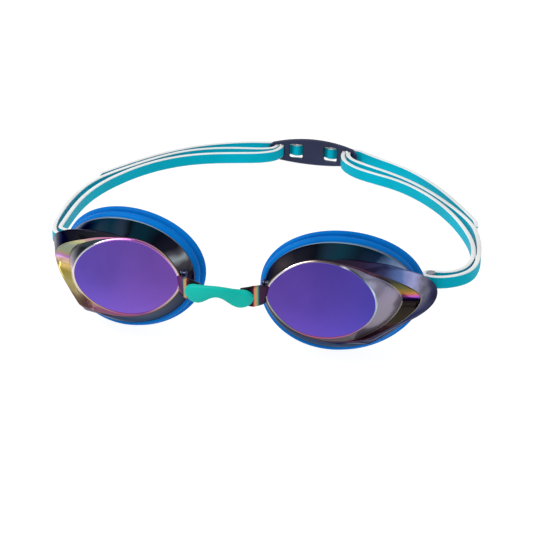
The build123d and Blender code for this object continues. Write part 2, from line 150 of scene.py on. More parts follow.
class Shader:
    """One material: a Principled shader with named inputs and a few node shortcuts."""

    def __init__(self, name):
        self.material = bpy.data.materials.new(name)
        self.material.use_nodes = True
        self.tree = self.material.node_tree
        self.main = self.tree.nodes["Principled BSDF"]

    def set(self, base=None, **inputs):
        if base is not None:
            self.main.inputs["Base Color"].default_value = (*base[:3], 1.0)
        for name, value in inputs.items():
            self.main.inputs[name.replace("_", " ")].default_value = value

    def node(self, kind, **values):
        made = self.tree.nodes.new(kind)
        for name, value in values.items():
            if name in made.inputs:
                made.inputs[name].default_value = value
            else:
                setattr(made, name, value)
        return made

    def link(self, output, target):
        self.tree.links.new(output, target)

    def attribute(self, name, axis=None):
        """A stored coordinate of the mesh, or one of its three parts."""
        read = self.node("ShaderNodeAttribute", attribute_name=name)
        if axis is None:
            return read.outputs["Vector"]
        parts = self.node("ShaderNodeSeparateXYZ")
        self.link(read.outputs["Vector"], parts.inputs[0])
        return parts.outputs[axis]

    def noise(self, scale, detail=2.0, roughness=0.5, where=None):
        made = self.node("ShaderNodeTexNoise", Scale=scale, Detail=detail, Roughness=roughness)
        if where is None:
            where = self.node("ShaderNodeTexCoord").outputs["Object"]
        self.link(where, made.inputs["Vector"])
        return made.outputs["Fac"]

    def drift(self, scale, size):
        """A soft unevenness over the cup, half of size to either side of 0."""
        return self.math("MULTIPLY", self.math("SUBTRACT", self.cup_noise(scale), 0.5), size)

    def cup_noise(self, scale, detail=2):
        return self.noise(scale, detail=detail, where=self.attribute("cup"))

    def math(self, operation, a, b):
        made = self.node("ShaderNodeMath", operation=operation)
        for socket, value in zip(made.inputs, (a, b)):
            if isinstance(value, (int, float)):
                socket.default_value = value
            else:
                self.link(value, socket)
        return made.outputs[0]

    def ramp(self, value, low, high, stops):
        """Colours by a value from low to high; each stop is the value and its colour on screen."""
        scaled = self.node("ShaderNodeMapRange", **{"From Min": low, "From Max": high})
        self.link(value, scaled.inputs["Value"])
        made = self.node("ShaderNodeValToRGB")
        elements = made.color_ramp.elements
        while len(elements) < len(stops):
            elements.new(0.5)
        for element, (at, *colour) in zip(elements, sorted(stops)):
            element.position = (at - low) / (high - low)
            element.color = srgb(*colour)
        self.link(scaled.outputs[0], made.inputs["Fac"])
        return made.outputs["Color"]

    def mix(self, share, first, second):
        """Two colours blended by a share."""
        made = self.node("ShaderNodeMix", data_type="RGBA")
        for socket, value in ((made.inputs[0], share), (made.inputs[6], first), (made.inputs[7], second)):
            if isinstance(value, (int, float, tuple)):
                socket.default_value = value
            else:
                self.link(value, socket)
        return made.outputs[2]

    def colour(self, output):
        self.link(output, self.main.inputs["Base Color"])

    def grain(self, scale, height, strength):
        """A fine even bump."""
        noise = self.noise(scale)
        made = self.node("ShaderNodeBump", Distance=height, Strength=strength)
        self.link(noise, made.inputs["Height"])
        self.link(made.outputs[0], self.main.inputs["Normal"])

    def rough(self, noise, low, high):
        """Roughness that varies with a noise."""
        made = self.node("ShaderNodeMapRange", **{"From Min": NOISE_RANGE[0], "From Max": NOISE_RANGE[1],
                                                  "To Min": low, "To Max": high})
        self.link(noise, made.inputs["Value"])
        self.link(made.outputs[0], self.main.inputs["Roughness"])


# --- mesh helpers ---
def circle_angles(count):
    return np.linspace(0, 2 * math.pi, count, endpoint=False)


def cup_points(side, out, up, depth):
    """Cup space to the row frame."""
    out, up, depth = np.broadcast_arrays(*(np.asarray(v, float) for v in (out, up, depth)))
    y = depth * math.cos(TILT) + up * math.sin(TILT)
    z = up * math.cos(TILT) - depth * math.sin(TILT)
    return np.stack([SIDES[side] * out, y, z], -1) * MM + LENS_CENTRE[side]


def nose_points(x, y, z):
    """Millimetres from the middle of the nose bridge, at the lens fronts and the floor."""
    x, y, z = np.broadcast_arrays(*(np.asarray(v, float) for v in (x, y, z)))
    return np.stack([x, y, z], -1) * MM + ORIGIN


def make_object(name, points, faces, zones, materials, store=None):
    """A smooth mesh in the scene; store keeps coordinates on its points for the shaders."""
    mesh = bpy.data.meshes.new(name)
    mesh.from_pydata([tuple(p) for p in points], [], faces)
    for material in materials:
        mesh.materials.append(material)
    if zones is not None:
        mesh.polygons.foreach_set("material_index", zones)
    mesh.polygons.foreach_set("use_smooth", [True] * len(mesh.polygons))
    for label, values in (store or {}).items():
        attribute = mesh.attributes.new(label, "FLOAT_VECTOR", "POINT")
        attribute.data.foreach_set("vector", np.asarray(values, np.float32).ravel())
    edit = bmesh.new()
    edit.from_mesh(mesh)
    bmesh.ops.recalc_face_normals(edit, faces=edit.faces)
    edit.to_mesh(mesh)
    edit.free()
    made = bpy.data.objects.new(name, mesh)
    SCENE.collection.objects.link(made)
    return made


def lattice(rings, wrap):
    """Faces between rings of equal length, and the ring that each starts from; wrap also joins the
    last ring to the first."""
    count, size = len(rings), len(rings[0])
    faces, rows = [], []
    for i in range(count if wrap else count - 1):
        a, b = i * size, (i + 1) % count * size
        for j in range(size):
            k = (j + 1) % size
            faces.append((a + j, a + k, b + k, b + j))
            rows.append(i)
    return faces, rows


def smooth_loop(values, spread):
    """A closed row of numbers, softened over some of its neighbours."""
    reach = int(spread * 3) + 1
    weights = np.exp(-0.5 * (np.arange(-reach, reach + 1) / spread) ** 2)
    padded = np.concatenate([values[-reach:], values, values[:reach]])
    return np.convolve(padded, weights / weights.sum(), "valid")


def spline(points, steps, closed=False):
    """Catmull-Rom curve through the points."""
    p = np.asarray(points, float)
    if closed:
        p = np.concatenate([p[-1:], p, p[:2]])
    else:
        p = np.concatenate([2 * p[:1] - p[1:2], p, 2 * p[-1:] - p[-2:-1]])
    t = np.linspace(0, 1, steps, endpoint=False)[:, None]
    out = []
    for a, b, c, d in zip(p, p[1:], p[2:], p[3:]):
        out.append(0.5 * (2 * b + (c - a) * t + (2 * a - 5 * b + 4 * c - d) * t**2
                          + (3 * b - a - 3 * c + d) * t**3))
    out = np.concatenate(out)
    return out if closed else np.concatenate([out, p[-2:-1]])


# --- eyecup shapes ---
LENS_HALF = (20.5, 14.1)
NOSE_NARROWING = 0.26        # the lens and cup are egg-shaped, narrower by the nose
TEMPLE_NARROWING = 0.06
ROUND = 720                  # points round an eyecup
ANGLES = np.linspace(-math.pi, math.pi, ROUND, endpoint=False)
COS, SIN = np.cos(ANGLES), np.sin(ANGLES)
FACE_RADIUS = 68.0
FACE_AXIS = -10.2
RIM = 0.6
RIM_DEPTH = 0.3
# The temple side.  The lens block falls away to the foot, a groove lies between the foot and the
# crest, and the arm's band runs from the crest to the arm's rim.  From the front each line is an
# oval, and a fullness under 2 makes it pointed.
FOOT_OVAL = dict(half=(25.8, 14.9), centre=(2.0, -0.5), fullness=1.95)
CREST_OVAL = dict(half=(30.5, 15.0), centre=(4.0, -0.4), fullness=1.75)
ARM_OVAL = dict(half=(27.0, 16.7), centre=(12.4, -0.3))
SCOOP_MIDDLE = (51.2, -53.4)     # a round scoop out of the arm's lower edge
SCOOP_RADIUS = 48.6
# The arm's face turns back at the bend, curls further near its tip, and leans forward at the top.
ARM_BEND = 17.8
ARM_SWEEP = 0.98
ARM_TIP_CURL = 8.6
ARM_LENGTH = ARM_OVAL["centre"][0] + ARM_OVAL["half"][0] - ARM_BEND
ARM_LEAN = 0.4
ARM_LEAN_RUN = 12.0
ARM_EDGE_DROP = (0.3, 1.3, 2.7)  # the rolled rim lies this far back by the lens, above, and below
ARM_EDGE_RUN = 6.0           # distance past the bend where that is complete
LOWER_FLARE = 6.5            # below the lens the rim runs back this far more, at its deepest
LOWER_FLARE_X = 16.0
LOWER_FLARE_WIDTH = 7.0
ARM_THICKNESS = 2.2
FADE_START = 7.0             # the temple side's lines end this far to the nose side of the middle
FADE_RUN = 9.0
# The groove's floor is a valley: its bottom line runs outward and back.
VALLEY_HEIGHT = -1.9
VALLEY_X = 27.8
VALLEY_DEPTH = 18.2
VALLEY_RUN = 0.5
VALLEY_RISE_BELOW = 0.83
VALLEY_RISE_ABOVE = 0.95


def oval(half, centre=(0.0, 0.0), nose=0.0, temple=0.0, fullness=2.0):
    """An oval's distance from the cup's middle at every angle."""
    turn = np.linspace(-math.pi, math.pi, 4 * ROUND, endpoint=False)
    share = np.abs(np.cos(turn)) ** 3
    narrow = 1 - np.where(np.cos(turn) < 0, nose, temple) * share
    power = 2 / fullness
    x = centre[0] + half[0] * np.sign(np.cos(turn)) * np.abs(np.cos(turn)) ** power
    z = centre[1] + half[1] * np.sign(np.sin(turn)) * np.abs(np.sin(turn)) ** power * narrow
    angle, reach = np.arctan2(z, x), np.hypot(x, z)
    order = np.argsort(angle)
    return np.interp(ANGLES, angle[order], reach[order], period=2 * math.pi)


LENS = oval(LENS_HALF, nose=NOSE_NARROWING, temple=TEMPLE_NARROWING)
RIM_EDGE = LENS + RIM


def outside(reach, inside, soften=3.0):
    """Keeps a line from crossing the one inside it, with soft corners where they meet."""
    return np.maximum(smooth_loop(np.maximum(reach, inside), soften), inside)


def temple_side(reach, inside):
    """Lets a line of the temple side sink into the one inside it towards the nose."""
    share = ((reach * COS + FADE_START) / FADE_RUN).clip(0, 1)
    return inside + (reach - inside) * share


def scooped(reach):
    """Cuts a line short where the scoop under the arm reaches it."""
    towards = SCOOP_MIDDLE[0] * COS + SCOOP_MIDDLE[1] * SIN
    spread = towards**2 - np.hypot(*SCOOP_MIDDLE) ** 2 + SCOOP_RADIUS**2
    meets = (spread > 0) & (towards > 0)
    near = towards - np.sqrt(np.maximum(spread, 0))
    return np.where(meets, np.minimum(reach, near), reach)


def arm_depth(out, up):
    """Depth of the arm's face."""
    past = np.maximum(out - ARM_BEND, 0)
    lean = ARM_LEAN * np.minimum(past / ARM_LEAN_RUN, 1)
    return RIM_DEPTH + ARM_SWEEP * past + ARM_TIP_CURL * (past / ARM_LENGTH) ** 4 - lean * up


def floor_depth(out, up):
    """Depth of the groove's floor, which is never in front of the arm's face."""
    rise = np.where(up < VALLEY_HEIGHT, VALLEY_RISE_BELOW, VALLEY_RISE_ABOVE)
    valley = VALLEY_DEPTH + VALLEY_RUN * (out - VALLEY_X) - rise * np.abs(up - VALLEY_HEIGHT)
    return np.maximum(valley, arm_depth(out, up))


def on_line(reach, depth, soften=3.0):
    """The depth of a surface along a line, softened round its corners."""
    return smooth_loop(depth(reach * COS, reach * SIN), soften)


def face_depth(out, start):
    """Depth of a line that follows the curve of the face."""
    return start + FACE_RADIUS - np.sqrt(FACE_RADIUS**2 - (out - FACE_AXIS) ** 2)


def polar(reach, depth):
    """A ring in cup space: distance from the middle at every angle, and its depth."""
    out, up = reach * COS, reach * SIN
    return np.stack([out, up, depth(out, up) if callable(depth) else depth + 0 * out], 1)


def between(first, second, shares, bow=0.0):
    """Rings between two rings, bowed outward in the middle."""
    made = []
    for share in shares:
        ring = first * (1 - share) + second * share
        away = ring[:, :2] / np.linalg.norm(ring[:, :2], axis=1)[:, None]
        ring[:, :2] += away * (np.asarray(bow) * 4 * share * (1 - share))[..., None]
        made.append(ring)
    return made


WALL_END = dict(half=(28.4, 20.6), centre=(4.1, 0.0), nose=0.02, temple=0.02)
WALL_END_DEPTH = 9.2
SEAT_STEP = 0.7              # the end face, where the gasket sits, is this far behind the wall's edge
INNER_WALL = 1.5
LENS_THICKNESS = 2.0
# One strip of the wall, at its rear edge, is a painted highlight line.
ZONES = ["lens", "rim", "facet", "edge", "recess", "band", "arm_back", "wall", "rear_highlight", "inside"]
# How far along each surface its rings lie, from one line to the next.
LENS_SHARES = (0.04, 0.3, 0.6, 0.85, 0.97, 0.992)
FACET_SHARES = (0.04, 0.12, 0.25, 0.4, 0.55, 0.7, 0.84, 0.94)
GROOVE_SHARES = (0.04, 0.12, 0.25, 0.4, 0.6, 0.8, 0.93)
BAND_SHARES = (0.06, 0.2, 0.4, 0.6, 0.8, 0.94)
ARM_BACK_SHARES = (0.1, 0.4, 0.7)
# The last of these starts the wall's rear strip, where a pale highlight line is painted.
WALL_SHARES = (0.03, 0.15, 0.35, 0.55, 0.7, 0.8, 0.84)   # the hem starts at the last
INSIDE_SHARES = (0.1, 0.4, 0.7, 0.93)
LENS_BACK_SHARES = (0.97, 0.6, 0.04)
# Least gaps between the lines, and the widths at which each surface has its full shape.
FOOT_GAP = 0.1
CREST_GAP = 0.2
ARM_GAP = 0.25
FACET_FULL = 5.0
GROOVE_FULL = 4.0
BAND_FULL = 3.0
ROOT_SHARE = 0.45            # the wall starts this far from the foot to the arm's rim
LEAST_ROOT_DEPTH = 1.2
RAISED_RIM = [(0.15, -0.1), (0.45, 0.0)]     # distance past the lens's edge, and depth
LENS_BACK_INSET = 1.5        # the lens's back face is this much smaller all round
# How far each surface swells between its two lines.
BOW = dict(facet=0.55, band=0.25, rounding=0.12, edge=0.15, wall=0.7)

FOOT = outside(temple_side(oval(**FOOT_OVAL), RIM_EDGE + FOOT_GAP), RIM_EDGE + FOOT_GAP)
CREST = outside(temple_side(oval(**CREST_OVAL), FOOT + CREST_GAP), FOOT + CREST_GAP)
ARM = outside(scooped(oval(**ARM_OVAL)), CREST + ARM_GAP, soften=9.0)
FOOT_DEPTH = on_line(FOOT, floor_depth)
CREST_DEPTH = on_line(CREST, arm_depth)
LOWER = ((1 - SIN * 4) / 2).clip(0, 1)       # 1 below the middle and 0 above it, with a soft step
FLARE_ASIDE = (ARM * COS - LOWER_FLARE_X) / LOWER_FLARE_WIDTH
FLARE = smooth_loop(LOWER_FLARE * np.exp(-FLARE_ASIDE**2) * LOWER, 8.0)
FACET_OPEN = ((FOOT - RIM_EDGE) / FACET_FULL).clip(0, 1)
GROOVE_OPEN = ((CREST - FOOT - CREST_GAP) / GROOVE_FULL).clip(0, 1)
BAND_OPEN = ((ARM - CREST - ARM_GAP) / BAND_FULL).clip(0, 1)


def arm_rim_depth():
    """Depth of the arm's rim, which is rolled back and flares further back below the lens."""
    by_lens, above, below = ARM_EDGE_DROP
    past = ((ARM * COS - ARM_BEND) / ARM_EDGE_RUN).clip(0, 1)
    drop = by_lens + (above + (below - above) * LOWER) * past
    return on_line(ARM, arm_depth) + smooth_loop(drop, 6.0) + FLARE


def zoned(zone, *rings):
    """Rings, each with the zone of the surface from it to the next."""
    return [(ring, zone) for ring in rings]


def lens_rings():
    """The flat lens, its fine raised rim, and the facet that falls from it to the foot."""
    flat = polar(LENS, 0.0)
    lens = [flat * [share, share, 0] for share in LENS_SHARES]
    raised = [polar(LENS + step, depth) for step, depth in RAISED_RIM]
    rim, foot = polar(RIM_EDGE, RIM_DEPTH), polar(FOOT, FOOT_DEPTH)
    facet = between(rim, foot, FACET_SHARES, bow=BOW["facet"] * FACET_OPEN)
    return (zoned("lens", *lens) + zoned("rim", flat, *raised)
            + zoned("facet", rim, *facet) + zoned("edge", foot))


def groove_rings():
    """The groove's floor from the foot to the crest, closed up where those two lines meet."""
    start = polar(FOOT + 0.08 + 0.12 * GROOVE_OPEN, FOOT_DEPTH + 0.05 * GROOVE_OPEN)
    end = polar(CREST - 0.03 - 0.12 * GROOVE_OPEN, CREST_DEPTH + 0.12 * GROOVE_OPEN)
    floor = between(start, end, GROOVE_SHARES)
    for ring in floor:
        valley = smooth_loop(floor_depth(ring[:, 0], ring[:, 1]), 2.0)
        ring[:, 2] = ring[:, 2] * (1 - GROOVE_OPEN) + np.maximum(valley, ring[:, 2]) * GROOVE_OPEN
    return zoned("recess", start, *floor, end) + zoned("edge", polar(CREST, CREST_DEPTH))


def arm_rings(root):
    """The arm's band from the crest out to its rounded rim, and its back in to the wall."""
    rim_depth = arm_rim_depth()
    rim = polar(ARM, rim_depth)
    start = polar(CREST + 0.06 + 0.14 * BAND_OPEN, CREST_DEPTH + 0.02)
    end = polar(ARM - 0.05 - 0.35 * BAND_OPEN, rim_depth - 0.25 - 0.45 * BAND_OPEN)
    band = between(start, end, BAND_SHARES, bow=BOW["band"] * BAND_OPEN)
    rounding = between(end, rim, (0.5,), bow=BOW["rounding"] * BAND_OPEN)
    behind = polar(ARM - 0.1 - 0.5 * BAND_OPEN, rim_depth + 0.5 + (ARM_THICKNESS - 0.5) * BAND_OPEN)
    edge = between(rim, behind, (0.3, 0.7), bow=BOW["edge"] * BAND_OPEN)
    back = between(behind, root, ARM_BACK_SHARES)
    return zoned("band", start, *band, end, *rounding, rim) + zoned("arm_back", *edge, behind, *back)


def wall_root():
    """The line behind the arm that the side wall starts from."""
    reach = FOOT + ROOT_SHARE * (ARM - FOOT) - 0.3
    depth = FOOT_DEPTH + ROOT_SHARE * (CREST_DEPTH - FOOT_DEPTH) + 1.0 + 1.1 * GROOVE_OPEN + 0.75 * FLARE
    return polar(np.minimum(reach, ARM - 0.35), np.maximum(depth, LEAST_ROOT_DEPTH))


def wall_rings(root):
    """The side wall back to the gasket's seat, and the inside of the cup to the back of the lens."""
    end = polar(oval(**WALL_END), lambda out, up: face_depth(out, WALL_END_DEPTH))
    bow = BOW["wall"] * (1 - GROOVE_OPEN)
    wall = between(root, end, WALL_SHARES, bow=bow)
    seat, inner = (polar(oval(**WALL_END) - step, lambda out, up: face_depth(out, WALL_END_DEPTH + SEAT_STEP))
                   for step in (0.4, INNER_WALL + 0.3))
    lens_back = polar(LENS - LENS_BACK_INSET, LENS_THICKNESS)
    inside = between(inner, lens_back, INSIDE_SHARES, bow=bow - 0.3 * GROOVE_OPEN)
    middle = [lens_back * [share, share, 1] for share in LENS_BACK_SHARES]
    # The wall's last strip is a painted highlight line along its rear edge.
    return (zoned("wall", root, *wall[:-1]) + zoned("rear_highlight", wall[-1], end)
            + zoned("inside", seat, inner, *inside, lens_back, *middle))


def shell_rings():
    """Rings of the one-piece eyecup from the middle of the lens out, round the arm's rim, back
    along the wall, and inside to the back of the lens."""
    root = wall_root()
    return lens_rings() + groove_rings() + arm_rings(root) + wall_rings(root)


def make_eyecup(side, shaders):
    rings = shell_rings()
    cup_space = np.concatenate([ring for ring, zone in rings])
    faces, rows = lattice([ring for ring, zone in rings], wrap=False)
    zones = [ZONES.index(rings[row][1]) for row in rows]
    count, size = len(rings), ROUND
    cup_space = np.concatenate([cup_space, [[0, 0, 0], [0, 0, LENS_THICKNESS]]])
    front, rear = count * size, count * size + 1
    for j in range(size):
        k = (j + 1) % size
        faces += [(front, k, j), (rear, (count - 1) * size + j, (count - 1) * size + k)]
        zones += [ZONES.index("lens"), ZONES.index("inside")]
    points = cup_points(side, *cup_space.T)
    cup = make_object(side + "_mirrored_eyecup", points, faces, zones,
                      [shaders[zone] for zone in ZONES], {"cup": cup_space})
    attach(cup, side + "_cup")
    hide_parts(side + "_eyecup")


# --- gasket ---
# Profile of the soft ring: how far outside the opening it lies, from 0 at the opening to 1 at the
# flange's edge, and its depth.
GASKET_PROFILE = [(0.02, 9.0), (0.30, 8.5), (0.55, 8.6), (0.70, 9.2), (0.76, 10.3), (0.72, 11.5),
                  (0.55, 12.2), (0.50, 12.8), (0.60, 13.3), (0.86, 13.5), (0.98, 14.1), (1.0, 14.9),
                  (0.94, 15.9), (0.76, 16.5), (0.50, 16.7), (0.22, 16.6), (0.05, 16.0), (0.0, 14.2),
                  (0.0, 11.5)]
GASKET_OPENING = dict(half=(25.0, 18.2), centre=(3.0, 0.0))
GASKET_EDGE = dict(half=(30.6, 23.1), centre=(3.8, 0.2))


def make_gasket(side, shader):
    inner, outer = oval(**GASKET_OPENING), oval(**GASKET_EDGE)
    rings = []
    for share, depth in spline(GASKET_PROFILE, 4, closed=True):
        reach = inner + (outer - inner) * share
        rings.append(polar(reach, lambda out, up, d=depth: face_depth(out, d)))
    points = cup_points(side, *np.concatenate(rings).T)
    faces = lattice(rings, wrap=True)[0]
    ring = make_object(side + "_soft_gasket", points, faces, None, [shader])
    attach(ring, side + "_cup")
    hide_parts(side + "_gasket")


# --- sweeps ---
def rounded_section(width, height, radius, steps=4):
    """A rounded rectangle's points, middle at 0."""
    points = []
    for turn, (sx, sy) in enumerate(((1, 1), (-1, 1), (-1, -1), (1, -1))):
        for step in range(steps + 1):
            angle = math.radians(90 * (turn + step / steps))
            points.append((sx * (width / 2 - radius) + radius * math.cos(angle),
                           sy * (height / 2 - radius) + radius * math.sin(angle)))
    return np.array(points)


def capped(name, rings, zones_of, materials, store=None):
    """A closed tube through rings of points, with its two ends filled.  zones_of says which material
    each strip along it has."""
    faces = lattice(rings, wrap=False)[0]
    size, count = len(rings[0]), len(rings)
    zones = [zones_of[j % size] if zones_of is not None else 0 for j in range(len(faces))]
    faces += [tuple(range(size))[::-1], tuple(range((count - 1) * size, count * size))]
    zones += [0, 0]
    made = make_object(name, np.concatenate(rings), faces, zones, materials, store)
    flat_ends(made, size, count)
    return made


def flat_ends(made, size, count):
    """Keeps the two end faces from bending the shading of the sides."""
    ends = set(range(size)) | set(range((count - 1) * size, count * size))
    for edge in made.data.edges:
        a, b = edge.vertices
        same = (a < size) == (b < size)
        if a in ends and b in ends and same and abs(a - b) in (1, size - 1):
            edge.use_edge_sharp = True


# --- nose tabs and bridge ---
TAB_LINE = [(17.9, 2.2), (15.3, -0.8), (12.4, -2.8), (7.8, -3.8)]
TAB_HALF_HEIGHTS = [2.5, 4.0, 4.2, 3.2]
TAB_MIDDLE = 26.8
TAB_THICKNESS = 1.8
TAB_CORNER = 0.45
BRIDGE_TOP = 31.7
BRIDGE_DROP = 1.0            # how far the top edge falls to the pads
BRIDGE_ARCH = 3.85           # how far the underside rises between them
PAD_X = 8.7
PAD_HEIGHT = 27.1
PAD_HALF_HEIGHT = 3.55
PAD_END = 4.4                # the pad's rounded end is this long
BRIDGE_FRONT = -8.6
BRIDGE_RADIUS = 41.0
BRIDGE_THICKNESS = 2.4
PAD_BACKING = 0.85           # the pads are this much thicker, back to the nose tabs
PAD_BACKING_RUN = 3.0
BRIDGE_TAPER_X = 13.4        # the bridge's thickness would reach nothing this far out
BRIDGE_TAPER_POWER = 10
BRIDGE_SQUARENESS = 0.62     # under 1 squares the section's corners


def make_nose_tab(side, shader):
    line = spline(TAB_LINE, 6)
    heights = np.interp(np.linspace(0, 1, len(line)), np.linspace(0, 1, len(TAB_LINE)), TAB_HALF_HEIGHTS)
    along = np.gradient(line, axis=0)
    along /= np.linalg.norm(along, axis=1)[:, None]
    across = np.stack([-along[:, 1], along[:, 0]], 1)
    rings, stored = [], []
    for point, normal, half_height in zip(line, across, heights):
        section = rounded_section(TAB_THICKNESS, 2 * half_height, TAB_CORNER)
        x = SIDES[side] * (point[0] + normal[0] * section[:, 0])
        y = point[1] + normal[1] * section[:, 0]
        z = TAB_MIDDLE + section[:, 1]
        rings.append(nose_points(x, y, z))
        stored.append(np.stack([np.abs(x), section[:, 1], section[:, 0]], 1))
    tab = capped(side + "_nose_tab", rings, None, [shader], {"cup": np.concatenate(stored)})
    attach(tab, side + "_cup")


KNOB_PLACE = (16.0, 3.6, 29.3)
KNOB_PROFILE = [(0.9, -1.6), (1.25, -1.3), (1.4, -0.6), (1.15, -0.2), (1.15, 0.3), (1.45, 0.6),
                (1.45, 1.1), (1.1, 1.5), (0.3, 1.6)]


def make_knob(side, shader):
    """The small round catch on the wall, above and behind the nose tab."""
    circle = circle_angles(28)
    x, y, z = KNOB_PLACE
    rings = [nose_points(SIDES[side] * (x - along), y + radius * np.cos(circle), z + radius * np.sin(circle))
             for radius, along in spline(KNOB_PROFILE, 3)]
    knob = capped(side + "_catch_knob", rings, None, [shader])
    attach(knob, side + "_cup")


def bridge_edges(x):
    """Heights of the bridge's underside and top edge at distances from its middle."""
    share = np.minimum(x / PAD_X, 1)
    round_end = PAD_HALF_HEIGHT * np.sqrt(1 - (np.maximum(x - PAD_X, 0) / PAD_END) ** 2)
    under = PAD_HEIGHT - PAD_HALF_HEIGHT + BRIDGE_ARCH * (1 + np.cos(math.pi * share)) / 2
    top = BRIDGE_TOP - BRIDGE_DROP * share**2
    on_pad = x > PAD_X
    return np.where(on_pad, PAD_HEIGHT - round_end, under), np.where(on_pad, PAD_HEIGHT + round_end, top)


def make_bridge_half(side, shader):
    """Half of the soft bridge, from the middle to the end of its pad."""
    turn = np.linspace(0, math.pi / 2, 56)
    reach = (PAD_X + PAD_END) * np.sin(turn)
    under, top = bridge_edges(reach)
    circle = circle_angles(48)
    rings = []
    for x, high, low in zip(reach, top, under):
        backing = PAD_BACKING * min(max((x - PAD_X) / PAD_BACKING_RUN + 1, 0), 1)
        full = BRIDGE_THICKNESS + backing
        thick = full * (1 - (x / BRIDGE_TAPER_X) ** BRIDGE_TAPER_POWER) ** 0.5
        rise = np.sign(np.sin(circle)) * np.abs(np.sin(circle)) ** BRIDGE_SQUARENESS
        push = np.sign(np.cos(circle)) * np.abs(np.cos(circle)) ** BRIDGE_SQUARENESS
        z = (high + low) / 2 + rise * max(high - low, 0.02) / 2
        front = BRIDGE_FRONT + BRIDGE_RADIUS - math.sqrt(BRIDGE_RADIUS**2 - x**2)
        y = front + full / 2 + push * thick / 2
        rings.append(nose_points(SIDES[side] * x, y, z))
    half = capped(side + "_bridge_half", rings, None, [shader])
    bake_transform(half)
    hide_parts("nose_bridge")


# --- band ---
BAND_WIDTH = 5.0
BAND_THICKNESS = 1.8
BAND_CORNER = 0.42
WHITE_EDGE = 0.32            # how far the white edge comes onto the faces
BAND_MOUNT = MOUNTS["head_loop"]
BAND_MOUNT_Y = 90.0
LEFT_INNER = [
    (83.4, 43.9), (85.9, 51.4), (86.1, 62.5), (83.8, 74.6), (78.7, 88.4), (71.9, 102.6),
    (63.2, 116.4), (52.6, 128.8), (42.0, 137.2), (31.4, 142.0), (23.0, 146.4), (16.4, 153.4),
    (13.55, 161.2), (13.55, 167.2)]
LEFT_OUTER = [
    (83.9, 38.9), (87.9, 46.4), (88.5, 58.2), (87.2, 70.2), (84.8, 82.2), (81.6, 92.4),
    (76.0, 102.8), (68.2, 114.4), (59.2, 126.0), (49.0, 136.6), (38.2, 144.8), (27.6, 150.9),
    (19.4, 156.2), (15.65, 162.4), (15.65, 170.1)]
LEFT_TAIL = [
    (21.6, 168.6), (29.4, 162.6), (38.6, 156.8), (47.8, 149.2), (56.8, 138.8), (64.8, 127.6),
    (72.2, 115.4), (77.8, 105.6), (82.6, 96.4)]
RIGHT_INNER = [
    (78.6, 46.9), (79.4, 56.2), (80.1, 66.2), (80.2, 76.2), (79.5, 86.2), (77.5, 97.2),
    (73.9, 108.6), (68.9, 120.4), (62.1, 131.2), (53.6, 140.0), (43.4, 146.2), (32.0, 150.2),
    (23.0, 153.2), (17.4, 157.2), (15.25, 162.2), (15.25, 167.2)]
RIGHT_OUTER = [
    (80.6, 41.2), (82.4, 51.2), (83.7, 64.2), (84.1, 78.2), (83.4, 90.2), (81.2, 100.2),
    (77.6, 109.4), (72.9, 118.8), (67.9, 128.2), (62.3, 137.2), (55.5, 145.6), (46.6, 152.2),
    (35.6, 156.6), (26.8, 158.4), (20.6, 160.2), (17.35, 163.4), (17.35, 169.7)]
RIGHT_TAIL = [
    (23.4, 168.5), (30.0, 166.9), (37.0, 163.8), (44.2, 159.6), (51.4, 154.2), (58.6, 146.8),
    (65.2, 138.2), (70.9, 129.0), (76.0, 119.4), (80.6, 110.2), (82.9, 105.2)]
ROUTES = {"left": (LEFT_INNER, LEFT_OUTER, LEFT_TAIL), "right": (RIGHT_INNER, RIGHT_OUTER, RIGHT_TAIL)}
POST = (72.9, 36.95)
POST_RADIUS = 1.75
WRAP_RADIUS = POST_RADIUS + BAND_THICKNESS / 2 + 0.05    # the band's middle line round the post
TURN_LEAD = 2.4              # a point this far before the tail carries the turn round the end bar
CLIP_X, CLIP_Y = -0.9, 168.0
CROSSING = [(-15.25, 169.0), (-8.8, 170.7), (-0.9, 170.9), (7.0, 170.7), (13.55, 169.0)]
CLIP_WINDOW_X = 7.9          # from the clip's middle
WINDOW_BOW = 2.0             # the crossing bows this far forward into each window
WINDOW_BOW_WIDTH = 1.9
CUP_TO_BRIDGE = (37.0, 57.0)     # distances back over which the band passes from body to body
BRIDGE_TO_STRAP = (57.0, 77.0)
ROUTE_STEP = 0.7             # distance between the band's sections
STRAP_TO_TAIL = (4, 60)      # the same for the tail, in steps of the line past the clip's end bar
TAIL_END_SHARE = 0.004       # keeps the tail's rounded end from closing to a point


def band_points(x, back, across):
    """Band space to the row frame."""
    normal = np.array(BAND_MOUNT["axis"])
    behind = np.array([0, normal[2], -normal[1]])
    x, back, across = np.broadcast_arrays(*(np.asarray(v, float) for v in (x, back, across)))
    middle = np.array(BAND_MOUNT["pos_m"])
    return (middle + (back - BAND_MOUNT_Y)[..., None] * MM * behind + x[..., None] * MM * [1, 0, 0]
            + across[..., None] * MM * normal)


def route_curve(points):
    """Quadratic B-spline of the route, evenly spaced."""
    p = np.asarray(points, float)
    joints = np.concatenate([p[:1], (p[1:-2] + p[2:-1]) / 2, p[-1:]])
    t = np.linspace(0, 1, 40, endpoint=False)[:, None]
    fine = [(1 - t) ** 2 * a + 2 * t * (1 - t) * c + t**2 * b
            for a, c, b in zip(joints, p[1:-1], joints[1:])]
    fine = np.concatenate(fine + [p[-1:]])
    along = np.concatenate([[0], np.cumsum(np.linalg.norm(np.diff(fine, axis=0), axis=1))])
    even = np.linspace(0, along[-1], int(along[-1] / ROUTE_STEP))
    return np.stack([np.interp(even, along, fine[:, k]) for k in (0, 1)], 1)


